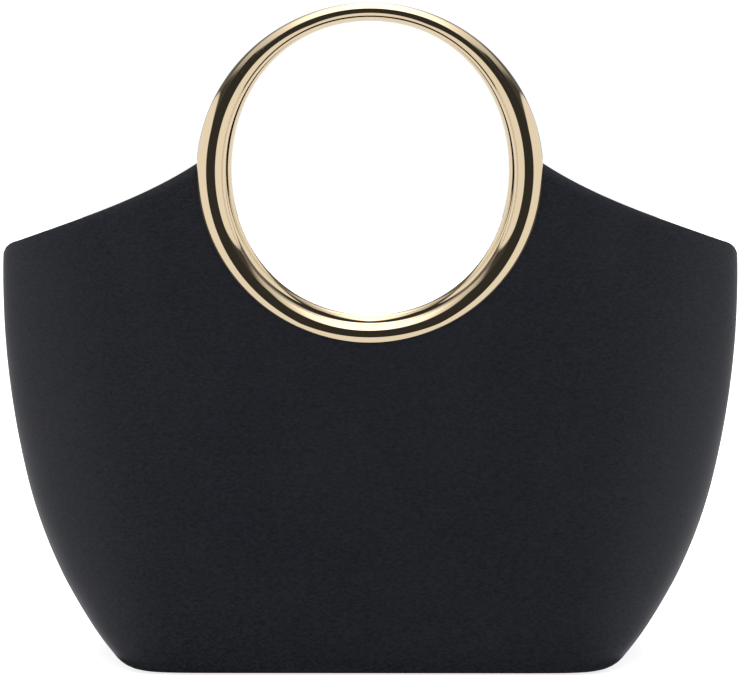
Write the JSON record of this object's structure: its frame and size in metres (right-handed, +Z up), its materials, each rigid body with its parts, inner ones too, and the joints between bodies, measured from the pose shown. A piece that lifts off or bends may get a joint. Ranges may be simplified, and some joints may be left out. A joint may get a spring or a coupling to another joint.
{
  "type": "handbag with ring handles",
  "caption": "Small structured black leather handbag with a fan-shaped front, flat base, open mouth and polished gold ring handles set into the panels.",
  "frame": {"origin": "middle of the base, on the surface that the bag stands on", "axes": "+X to the right along the bag's width, +Y from the front to the back, +Z up"},
  "size_m": [0.2614, 0.091, 0.2295],
  "materials": {
    "leather": "smooth black leather with a fine grain and a soft satin sheen",
    "gold_metal": "polished pale gold plating"
  },
  "bodies": {
    "root": {"front_panel": "leather", "back_panel": "leather", "base_panel": "leather", "front_ring": "gold_metal", "back_ring": "gold_metal"}
  },
  "joints": []
}
